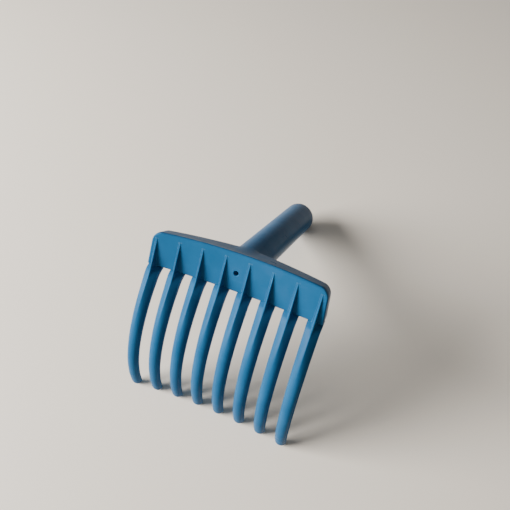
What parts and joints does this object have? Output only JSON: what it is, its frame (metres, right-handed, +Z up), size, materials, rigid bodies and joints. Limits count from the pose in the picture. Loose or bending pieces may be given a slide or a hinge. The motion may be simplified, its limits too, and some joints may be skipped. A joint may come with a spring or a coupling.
{
  "type": "olive rake",
  "caption": "One-piece moulded hand rake for combing olives: bowed open-backed head with curved hollow-backed tines and a socket for a pole.",
  "frame": {"origin": "on the table, under the middle of the resting rake's box", "axes": "+Z up from the table it rests on, X along the head, +Y towards the socket's mouth, -Y the front of the head and tines"},
  "size_m": [0.152, 0.248, 0.1283],
  "materials": {
    "plastic": "semi-gloss blue moulded plastic"
  },
  "bodies": {
    "root": {"front_plate": "plastic", "top_wall_left": "plastic", "top_wall_right": "plastic", "bottom_wall": "plastic", "end_wall_left": "plastic", "end_wall_right": "plastic", "socket_flare": "plastic", "socket_tube": "plastic", "tine_1": "plastic", "tine_2": "plastic", "tine_3": "plastic", "tine_4": "plastic", "tine_5": "plastic", "tine_6": "plastic", "tine_7": "plastic", "tine_8": "plastic", "tine_rib_1": "plastic", "tine_rib_2": "plastic", "tine_rib_3": "plastic", "tine_rib_4": "plastic", "tine_rib_5": "plastic", "tine_rib_6": "plastic", "tine_rib_7": "plastic", "tine_rib_8": "plastic"}
  },
  "joints": []
}
